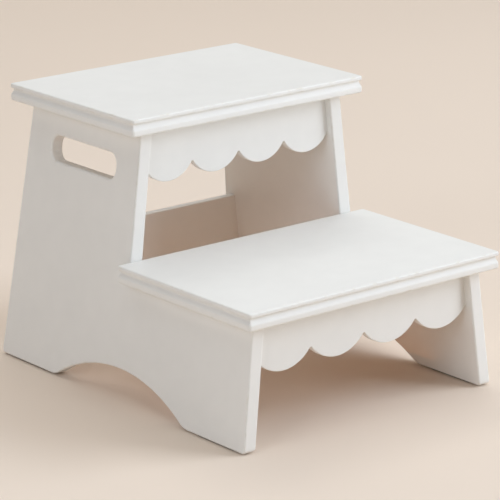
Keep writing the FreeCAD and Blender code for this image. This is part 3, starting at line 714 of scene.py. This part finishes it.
def fixings_tree():
    """The same fixing twice on each side of the stool, turned in or out with the side panels' lean."""
    tree, given = new_tree("fixings_in_pairs", (
        ("Fixing", "NodeSocketObject"), ("Across", "NodeSocketFloat"), ("Middle", "NodeSocketFloat"),
        ("Height", "NodeSocketFloat"), ("Spacing", "NodeSocketFloat"), ("Turn", "NodeSocketFloat"),
        ("Material", "NodeSocketMaterial")))
    spread = calc(tree, "MULTIPLY", given["Spacing"], 0.5)
    near = calc(tree, "SUBTRACT", given["Middle"], spread)
    start = add(tree, "ShaderNodeCombineXYZ", (given["Across"], near, given["Height"]))
    step = add(tree, "ShaderNodeCombineXYZ", {"Y": given["Spacing"]})
    pair = add(tree, "GeometryNodeMeshLine", {"Count": 2, "Start Location": start, "Offset": step},
               mode="OFFSET")
    fixing = add(tree, "GeometryNodeObjectInfo", {"Object": given["Fixing"]}, transform_space="RELATIVE")
    angle = add(tree, "ShaderNodeCombineXYZ", {"Y": given["Turn"]})
    right = add(tree, "GeometryNodeInstanceOnPoints",
                {"Points": pair, "Instance": fixing.outputs["Geometry"], "Rotation": angle})
    mirror = add(tree, "GeometryNodeTransform", {"Geometry": right, "Scale": (-1, 1, 1)})
    real = add(tree, "GeometryNodeRealizeInstances", (mirror,))
    left = add(tree, "GeometryNodeFlipFaces", (real,))
    both = add(tree, "GeometryNodeJoinGeometry", (right,))
    tree.links.new(left.outputs[0], both.inputs[0])
    close_tree(tree, both, given["Material"])
    return tree


def cap_profile(sizes):
    """A cover cap's profile: stem along +Z into the cam, face towards -Z with a faintly sunk middle."""
    face = -sizes.thickness
    rim = sweep((sizes.radius - sizes.rim_radius, face + sizes.rim_radius), sizes.rim_radius,
                0, -math.pi / 2, ARC_STEPS)
    dished = [(sizes.radius * share, face + sizes.dish * (1 - share ** 2))
              for share in (0.85, 0.7, 0.5, 0.25, 0)]
    back = [(0, sizes.stem_length), (sizes.stem_radius, sizes.stem_length), (sizes.stem_radius, 0),
            (sizes.radius, 0)]
    return back + [tuple(p) for p in rim] + dished


def foot_pad_tree():
    """A rounded pad whose underside carries rows of small round nubs."""
    tree, given = new_tree("nubbed_foot_pad", (
        ("Centre", "NodeSocketVector"), ("Width", "NodeSocketFloat"), ("Length", "NodeSocketFloat"),
        ("Height", "NodeSocketFloat"), ("Corner Radius", "NodeSocketFloat"),
        ("Nub Radius", "NodeSocketFloat"), ("Nub Height", "NodeSocketFloat"),
        ("Nubs Across", "NodeSocketInt"), ("Nubs Along", "NodeSocketInt"),
        ("Nub Pitch", "NodeSocketFloat"), ("Material", "NodeSocketMaterial")))
    plan = add(tree, "GeometryNodeCurvePrimitiveQuadrilateral",
               {"Width": given["Width"], "Height": given["Length"]}, mode="RECTANGLE")
    eased = add(tree, "GeometryNodeFilletCurve",
                {"Curve": plan, "Count": PLAN_STEPS, "Radius": given["Corner Radius"]}, mode="POLY")
    face = add(tree, "GeometryNodeFillCurve", (eased,), mode="NGONS")
    body = calc(tree, "SUBTRACT", given["Height"], given["Nub Height"])
    up = add(tree, "ShaderNodeCombineXYZ", (0.0, 0.0, 1.0))
    top = add(tree, "GeometryNodeExtrudeMesh",
              {"Mesh": face, "Offset": up, "Offset Scale": body, "Individual": False}, mode="FACES")
    under = add(tree, "GeometryNodeFlipFaces", (face,))
    shell = add(tree, "GeometryNodeJoinGeometry", (top,))
    tree.links.new(under.outputs[0], shell.inputs[0])
    pad = add(tree, "GeometryNodeMergeByDistance", {"Geometry": shell, "Distance": MERGE_DISTANCE})

    gaps_across = calc(tree, "SUBTRACT", given["Nubs Across"], 1.0)
    gaps_along = calc(tree, "SUBTRACT", given["Nubs Along"], 1.0)
    span_across = calc(tree, "MULTIPLY", gaps_across, given["Nub Pitch"])
    span_along = calc(tree, "MULTIPLY", gaps_along, given["Nub Pitch"])
    grid = add(tree, "GeometryNodeMeshGrid",
               {"Size X": span_across, "Size Y": span_along,
                "Vertices X": given["Nubs Across"], "Vertices Y": given["Nubs Along"]})
    ball = add(tree, "GeometryNodeMeshUVSphere", {"Segments": 10, "Rings": 6, "Radius": 1.0})
    flat = add(tree, "ShaderNodeCombineXYZ",
               (given["Nub Radius"], given["Nub Radius"], given["Nub Height"]))
    nubs = add(tree, "GeometryNodeInstanceOnPoints", {"Points": grid, "Instance": ball, "Scale": flat})
    both = add(tree, "GeometryNodeJoinGeometry", (pad,))
    tree.links.new(nubs.outputs[0], both.inputs[0])
    lift = add(tree, "ShaderNodeCombineXYZ", {"Z": given["Nub Height"]})
    place = add(tree, "ShaderNodeVectorMath", (given["Centre"], lift), operation="ADD")
    placed = add(tree, "GeometryNodeTransform", {"Geometry": both, "Translation": place})
    close_tree(tree, placed, given["Material"])
    return tree


# ---- finishes ---------------------------------------------------------------------------------

def new_material(name):
    """An empty material, with its shader and the object's own coordinates."""
    material = bpy.data.materials.new(name)
    material.use_nodes = True
    tree = material.node_tree
    tree.nodes.clear()
    shader = add(tree, "ShaderNodeBsdfPrincipled")
    add(tree, "ShaderNodeOutputMaterial", (shader,))
    place = add(tree, "ShaderNodeTexCoord").outputs["Object"]
    return material, tree, shader, place


def noise(tree, place, size, detail):
    """Noise whose clouds are about this size across."""
    return add(tree, "ShaderNodeTexNoise", {"Vector": place, "Scale": 1 / size, "Detail": detail})


def remap(tree, value, low, high, start=0.0, end=1.0):
    """Carries a value's range, start to end, over to the range low to high."""
    return add(tree, "ShaderNodeMapRange", {"Value": value, "From Min": start, "From Max": end,
                                            "To Min": low, "To Max": high})


def shaded(tree, tint, tone):
    """The tint, made lighter or darker by the tone."""
    return add(tree, "ShaderNodeHueSaturation", {"Color": (*tint, 1.0), "Value": tone})


def blend(tree, share, under, over):
    """The colour over, laid on the colour under by a share."""
    mixed = add(tree, "ShaderNodeMix", {0: share, MIX_A: under, MIX_B: (*over, 1.0)}, data_type="RGBA")
    return mixed.outputs[MIX_OUT]


def bump(tree, height, distance, under=None):
    """Relief of this depth, on top of any relief under it."""
    feeds = {"Height": height, "Distance": distance, "Strength": 1.0}
    if under is not None:
        feeds["Normal"] = under
    return add(tree, "ShaderNodeBump", feeds)


def feed(tree, shader, **sockets):
    """Links what drives the shader's inputs, written with underscores for spaces."""
    for name, source in sockets.items():
        if isinstance(source, bpy.types.Node):
            source = source.outputs[0]
        tree.links.new(source, shader.inputs[name.replace("_", " ")])


def sprayed_satin_lacquer(tint, undercoat):
    """Satin polyurethane lacquer, sprayed in two coats on sanded board.

    To the eye it is one soft off-white with no grain. Its film flows out a little unevenly, so broad
    reflections waver, has a fine orange peel, and holds a dust nib here and there. Rubbed arrises have
    a thinner, smoother film, and hollows are painted a little darker and warmer, as painted shade.
    """
    material, tree, shader, place = new_material("sprayed_satin_lacquer")

    # Film thickness drifts over about 160 mm as the gun passes, and clouds over about 20 mm.
    drift = noise(tree, place, 160 * MM, 2.0)
    cloud = noise(tree, place, 20 * MM, 4.0)
    film = calc(tree, "ADD", drift, cloud)
    tone = remap(tree, film, 0.975, 1.02, 0.6, 1.4)
    coat = shaded(tree, tint, tone)

    # Rubbed arrises: broken patches about 9 mm long where a little undercoat shows.
    arris = add(tree, "ShaderNodeAttribute", attribute_name="arris").outputs["Fac"]
    patches = noise(tree, place, 9 * MM, 3.0)
    broken = remap(tree, patches, 0.0, 0.45, 0.52, 0.72)
    rubbed = calc(tree, "MULTIPLY", broken, arris)
    worn = blend(tree, rubbed, coat, undercoat)

    # Hollows: a trace of settled dust.
    # Hollows: painted shade, a darker warm tint laid into the creases.
    hollow = add(tree, "ShaderNodeAttribute", attribute_name="hollow").outputs["Fac"]
    crease_shade_share = calc(tree, "MULTIPLY", hollow, 0.22)
    crease_shaded = blend(tree, crease_shade_share, worn, linear("#B9AD9C"))

    # Dust nibs under the top coat: about 0.6 mm wide, one in every 45 mm or so.
    cells = add(tree, "ShaderNodeTexVoronoi", {"Vector": place, "Scale": 1 / 0.045})
    nib = remap(tree, cells.outputs["Distance"], 1.0, 0.0, 0.004, 0.009)
    speck = calc(tree, "MULTIPLY", nib, 0.3)
    final = blend(tree, speck, crease_shaded, linear("#8E8578"))

    sheen = remap(tree, film, 0.50, 0.60, 0.6, 1.4)
    polish = calc(tree, "MULTIPLY", arris, 0.08)
    gloss = calc(tree, "SUBTRACT", sheen, polish)

    # Orange peel is really about 1 mm from crest to crest; it is drawn at 2.5 mm, so that it shows.
    flow = noise(tree, place, 25 * MM, 1.0)
    peel = noise(tree, place, 2.5 * MM, 1.0)
    waves = bump(tree, flow, 0.09 * MM)
    skin = bump(tree, peel, 0.012 * MM, waves)
    bumps = bump(tree, nib, 0.1 * MM, skin)
    feed(tree, shader, Base_Color=final, Roughness=gloss, Normal=bumps)
    return material


def moulded_cap_plastic(tint):
    """Injection-moulded polypropylene, spark-eroded: an even, slightly waxy matt skin."""
    material, tree, shader, place = new_material("moulded_cap_plastic")
    shader.inputs["IOR"].default_value = 1.49
    shade = noise(tree, place, 12 * MM, 2.0)
    tone = remap(tree, shade, 0.97, 1.01)
    skin = shaded(tree, tint, tone)
    # Spark-eroded grain about 0.3 mm across.
    grain = noise(tree, place, 0.3 * MM, 2.0)
    bumps = bump(tree, grain, 0.01 * MM)
    rough = remap(tree, grain, 0.45, 0.6)
    feed(tree, shader, Base_Color=skin, Roughness=rough, Normal=bumps)
    return material


def foot_rubber(tint):
    """Soft grey-beige rubber, pressed: dull, faintly dusty, with fine pores."""
    material, tree, shader, place = new_material("foot_pad_rubber")
    shader.inputs["IOR"].default_value = 1.52
    dust = noise(tree, place, 6 * MM, 4.0)
    tone = remap(tree, dust, 0.85, 1.12)
    skin = shaded(tree, tint, tone)
    pores = add(tree, "ShaderNodeTexVoronoi", {"Vector": place, "Scale": 1 / 0.0006})
    bumps = bump(tree, pores.outputs["Distance"], 0.03 * MM)
    rough = remap(tree, dust, 0.75, 0.95)
    feed(tree, shader, Base_Color=skin, Roughness=rough, Normal=bumps)
    return material


def turned_beech(tint, grain_axis):
    """Bare beech dowel: pale pinkish tan, with short dark flecks along the grain and a dry surface."""
    material, tree, shader, place = new_material("turned_beech_along_" + "xyz"[grain_axis])
    # Flecks are about 0.25 mm wide and 3 mm long, and growth bands about 2 mm apart.
    stretch = [1.0, 1.0, 1.0]
    stretch[grain_axis] = 0.08
    along = add(tree, "ShaderNodeMapping", {"Vector": place, "Scale": stretch})
    fleck = noise(tree, along, 0.25 * MM, 2.0)
    band = noise(tree, along, 2 * MM, 2.0)
    mark = remap(tree, fleck, 0.0, 0.5, 0.58, 0.7)
    tone = remap(tree, band, 0.88, 1.08)
    wood = shaded(tree, tint, tone)
    flecked = blend(tree, mark, wood, linear("#A9784C"))
    bumps = bump(tree, fleck, 0.03 * MM)
    rough = remap(tree, band, 0.6, 0.8)
    feed(tree, shader, Base_Color=flecked, Roughness=rough, Normal=bumps)
    return material


def zinc_plated_steel(tint):
    """Bright zinc plate on turned steel: cool silver, with fine turning marks and faint clouding."""
    material, tree, shader, place = new_material("zinc_plated_steel")
    shader.inputs["Metallic"].default_value = 1.0
    cloud = noise(tree, place, 3 * MM, 3.0)
    tone = remap(tree, cloud, 0.9, 1.05)
    plate = shaded(tree, tint, tone)
    # Turning marks 0.2 mm apart up the bolt.
    marks = add(tree, "ShaderNodeTexWave", {"Vector": place, "Scale": 1 / 0.0002 / 20},
                bands_direction="Z")
    bumps = bump(tree, marks, 0.003 * MM)
    rough = remap(tree, cloud, 0.22, 0.38)
    feed(tree, shader, Base_Color=plate, Roughness=rough, Normal=bumps)
    return material


def die_cast_zinc(tint):
    """Zinc as it comes from the die and the tumbler: dull warm grey, softly pitted."""
    material, tree, shader, place = new_material("die_cast_zinc")
    shader.inputs["Metallic"].default_value = 1.0
    cloud = noise(tree, place, 2 * MM, 4.0)
    tone = remap(tree, cloud, 0.8, 1.1)
    metal = shaded(tree, tint, tone)
    pits = add(tree, "ShaderNodeTexVoronoi", {"Vector": place, "Scale": 1 / 0.0008})
    bumps = bump(tree, pits.outputs["Distance"], 0.02 * MM)
    rough = remap(tree, cloud, 0.4, 0.6)
    feed(tree, shader, Base_Color=metal, Roughness=rough, Normal=bumps)
    return material


def studio_floor_paint(tint):
    """Matt emulsion rolled on a seamless floor: nearly flat, with a faint roller texture."""
    material, tree, shader, place = new_material("studio_floor_paint")
    shader.inputs["Specular IOR Level"].default_value = 0.2
    patch = noise(tree, place, 600 * MM, 2.0)
    tone = remap(tree, patch, 0.985, 1.01)
    paint = shaded(tree, tint, tone)
    stipple = noise(tree, place, 2 * MM, 1.0)
    bumps = bump(tree, stipple, 0.01 * MM)
    rough = remap(tree, patch, 0.8, 0.9)
    feed(tree, shader, Base_Color=paint, Roughness=rough, Normal=bumps)
    return material


def board_lacquer(finishes):
    """The one lacquer that all boards share."""
    found = bpy.data.materials.get("sprayed_satin_lacquer")
    return found or sprayed_satin_lacquer(finishes.lacquer, finishes.primer)


# ---- operators --------------------------------------------------------------------------------

class STOOL_OT_side_panels(bpy.types.Operator):
    """Make both leaning side panels"""
    bl_idname = "step_stool.side_panels"
    bl_label = "Side Panels"

    def execute(self, context):
        settings = context.scene.step_stool
        for label, side in SIDES.items():
            side_panel(label + "_side_panel", side, settings.side_panels, board_lacquer(settings.finishes))
        return {"FINISHED"}


class STOOL_OT_treads(bpy.types.Operator):
    """Make the upper and lower treads with their edge moulding"""
    bl_idname = "step_stool.treads"
    bl_label = "Treads"

    def execute(self, context):
        settings = context.scene.step_stool
        for name in ("upper_tread", "lower_tread"):
            tread(name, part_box(name), settings.treads, board_lacquer(settings.finishes))
        return {"FINISHED"}


class STOOL_OT_aprons(bpy.types.Operator):
    """Make the scalloped aprons under both treads"""
    bl_idname = "step_stool.aprons"
    bl_label = "Scalloped Aprons"

    def execute(self, context):
        settings = context.scene.step_stool
        tree = apron_tree()
        for name in ("upper_apron", "lower_apron"):
            apron(tree, name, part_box(name), settings.aprons, board_lacquer(settings.finishes))
        return {"FINISHED"}


class STOOL_OT_back_rail(bpy.types.Operator):
    """Make the rail across the back"""
    bl_idname = "step_stool.back_rail"
    bl_label = "Back Rail"

    def execute(self, context):
        settings = context.scene.step_stool
        back_rail(settings.aprons, board_lacquer(settings.finishes))
        return {"FINISHED"}


class STOOL_OT_cam_caps(bpy.types.Operator):
    """Make the cover caps over the cams, on the side panels' inner faces"""
    bl_idname = "step_stool.cam_caps"
    bl_label = "Cover Caps"

    def execute(self, context):
        settings = context.scene.step_stool
        sizes = settings.caps
        tree = fixings_tree()
        plastic = moulded_cap_plastic(settings.finishes.cap)
        pattern = turned_mesh("cap_pattern", cap_profile(sizes), CAP_STEPS)
        for node in ("upper_tread_cam_caps", "lower_tread_cam_caps"):
            low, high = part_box(node)
            seat = high.z - sizes.radius * math.cos(LEAN)
            caps = made_by(node.replace("cam_caps", "cover_caps"), tree, {
                "Fixing": pattern, "Across": inner_x(seat), "Middle": (low.y + high.y) / 2,
                "Height": seat, "Spacing": high.y - low.y - 2 * sizes.radius,
                "Turn": math.pi / 2 - LEAN, "Material": plastic})
            stands_for(caps, "cover_cap_plastic", node)
        bpy.data.objects.remove(pattern)
        return {"FINISHED"}


class STOOL_OT_foot_pads(bpy.types.Operator):
    """Make the nubbed rubber pads under the feet"""
    bl_idname = "step_stool.foot_pads"
    bl_label = "Foot Pads"

    def execute(self, context):
        settings = context.scene.step_stool
        sizes = settings.pads
        tree = foot_pad_tree()
        rubber = foot_rubber(settings.finishes.rubber)
        for node in [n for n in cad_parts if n.endswith("_foot_pad")]:
            low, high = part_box(node)
            width, depth, height = high - low
            pad = made_by(node.replace("_pad", "_grip_pad"), tree, {
                "Centre": ((low.x + high.x) / 2, (low.y + high.y) / 2, low.z),
                "Width": width, "Length": depth, "Height": height,
                "Corner Radius": sizes.corner_radius, "Nub Radius": sizes.nub_radius,
                "Nub Height": sizes.nub_height, "Nub Pitch": sizes.nub_pitch,
                "Nubs Across": int(width / sizes.nub_pitch), "Nubs Along": int(depth / sizes.nub_pitch) - 1,
                "Material": rubber})
            stands_for(pad, "foot_pad_rubber", node)
        return {"FINISHED"}


class STOOL_OT_hidden_fixings(bpy.types.Operator):
    """Give the dowels, cam bolts and cams inside the boards their finishes"""
    bl_idname = "step_stool.hidden_fixings"
    bl_label = "Hidden Fixings"

    def execute(self, context):
        finishes = context.scene.step_stool.finishes
        bolts = zinc_plated_steel(finishes.zinc)
        cams = die_cast_zinc(finishes.casting)
        upright = turned_beech(finishes.beech, 2)
        level = turned_beech(finishes.beech, 0)
        finish_of = {"_cam_bolts": bolts, "_cam_nuts": cams, "_tread_dowels": upright,
                     "_apron_dowels": level, "_rail_dowels": level}
        for ending, material in finish_of.items():
            for node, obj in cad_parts.items():
                if node.endswith(ending):
                    obj.material_slots[0].material = material
        return {"FINISHED"}


def seamless_floor(material):
    """Level round floor that curves up at its rim into a low wall."""
    profile = [(share * FLOOR_FLAT, 0.0) for share in FLOOR_SHARES]
    bend = sweep((FLOOR_FLAT, FLOOR_BEND), FLOOR_BEND, -math.pi / 2, 0, BEND_STEPS)
    profile += [tuple(p) for p in bend[1:]]
    profile.append((FLOOR_FLAT + FLOOR_BEND, FLOOR_WALL))
    bm = bmesh.new()
    rings = [ring_of(bm, [(p.x, p.y, height) for p in circle(radius, FLOOR_STEPS)])
             for radius, height in profile]
    for ring, other in zip(rings, rings[1:]):
        wall(bm, ring, other)
    bm.faces.new(rings[0])
    floor = from_bmesh("studio_floor", bm)
    floor.data.materials.append(material)


def softbox(name, power, size, place, aim, tint):
    """A square soft light at a place, turned to face the aim."""
    light = bpy.data.lights.new(name, "AREA")
    light.energy = power
    light.size = size
    light.color = tint
    made = new_object(name, light)
    made.location = place
    made.rotation_euler = (Vector(aim) - Vector(place)).to_track_quat("-Z", "Y").to_euler()
    made.visible_camera = False
    return made


def even_sky(strength):
    """Even light from all round, above the floor's rim."""
    sky = bpy.data.worlds.new("even_sky")
    sky.use_nodes = True
    background = sky.node_tree.nodes["Background"]
    background.inputs["Color"].default_value = (1.0, 1.0, 1.0, 1.0)
    background.inputs["Strength"].default_value = strength
    bpy.context.scene.world = sky


def studio_camera(studio):
    """Long lens, looking down at the stool from its front left."""
    middle = (cad_box[0] + cad_box[1]) / 2
    aim = middle + CAMERA_AIM
    turn, rise = studio.azimuth, studio.elevation
    back = Vector((math.sin(turn) * math.cos(rise), -math.cos(turn) * math.cos(rise), math.sin(rise)))
    camera = bpy.data.cameras.new("studio_camera")
    camera.lens = studio.lens
    camera.clip_start = 0.1
    camera.clip_end = 50.0
    made = new_object("studio_camera", camera)
    made.location = aim + back * studio.distance
    look = (-back).to_track_quat("-Z", "Y").to_matrix()
    made.rotation_euler = (look @ Matrix.Rotation(studio.roll, 3, "Z")).to_euler()
    bpy.context.scene.camera = made


class STOOL_OT_stage(bpy.types.Operator):
    """Make the pale floor, the soft lights and the camera"""
    bl_idname = "step_stool.stage"
    bl_label = "Studio"

    def execute(self, context):
        studio = context.scene.step_stool.studio
        seamless_floor(studio_floor_paint(studio.floor))
        softbox("key_softbox", studio.key_power, 2.6, (2.6, -2.2, 1.75), STOOL_MIDDLE,
                studio.low_tint)
        softbox("side_softbox", studio.side_power, 1.2, (-2.0, -0.6, 1.0), STOOL_MIDDLE,
                studio.low_tint)
        softbox("top_softbox", studio.top_power, 4.0, (0, 0.3, 3.5), (0, 0.3, 0), studio.high_tint)
        softbox("rear_softbox", studio.rear_power, 3.0, (1.4, 2.4, 3.0), (1.2, 2.0, 0),
                studio.high_tint)
        softbox("floor_bounce", studio.bounce_power, 0.3, (0, 0.02, 0.012), (0, 0.02, 1),
                studio.bounce_tint)
        even_sky(studio.sky)
        studio_camera(studio)
        context.scene.view_settings.view_transform = "Standard"
        return {"FINISHED"}


class VIEW3D_PT_step_stool(bpy.types.Panel):
    """The stool's makers and sizes"""
    bl_label = "Step Stool"
    bl_space_type = "VIEW_3D"
    bl_region_type = "UI"
    bl_category = "Step Stool"

    def draw(self, context):
        settings = context.scene.step_stool
        for maker in MAKERS:
            self.layout.operator(maker.bl_idname)
        for group in settings.bl_rna.properties:
            if group.type == "POINTER" and group.identifier != "rna_type":
                box = self.layout.box()
                box.label(text=group.identifier.replace("_", " ").title())
                sizes = getattr(settings, group.identifier)
                for item in sizes.bl_rna.properties:
                    if item.identifier not in ("rna_type", "name"):
                        box.prop(sizes, item.identifier)


MAKERS = (STOOL_OT_side_panels, STOOL_OT_treads, STOOL_OT_aprons, STOOL_OT_back_rail,
          STOOL_OT_cam_caps, STOOL_OT_foot_pads, STOOL_OT_hidden_fixings, STOOL_OT_stage)
CLASSES = (SidePanelSizes, TreadSizes, ApronSizes, CapSizes, PadSizes, Finishes, StudioSettings,
           StoolSettings) + MAKERS + (VIEW3D_PT_step_stool,)


def register():
    for each in CLASSES:
        bpy.utils.register_class(each)
    bpy.types.Scene.step_stool = PointerProperty(type=StoolSettings)


def unregister():
    del bpy.types.Scene.step_stool
    for each in reversed(CLASSES):
        bpy.utils.unregister_class(each)


def main():
    register()
    bpy.ops.step_stool.side_panels()
    bpy.ops.step_stool.treads()
    bpy.ops.step_stool.aprons()
    bpy.ops.step_stool.back_rail()
    bpy.ops.step_stool.cam_caps()
    bpy.ops.step_stool.foot_pads()
    bpy.ops.step_stool.hidden_fixings()
    bpy.ops.step_stool.stage()


if __name__ == "__main__":
    main()
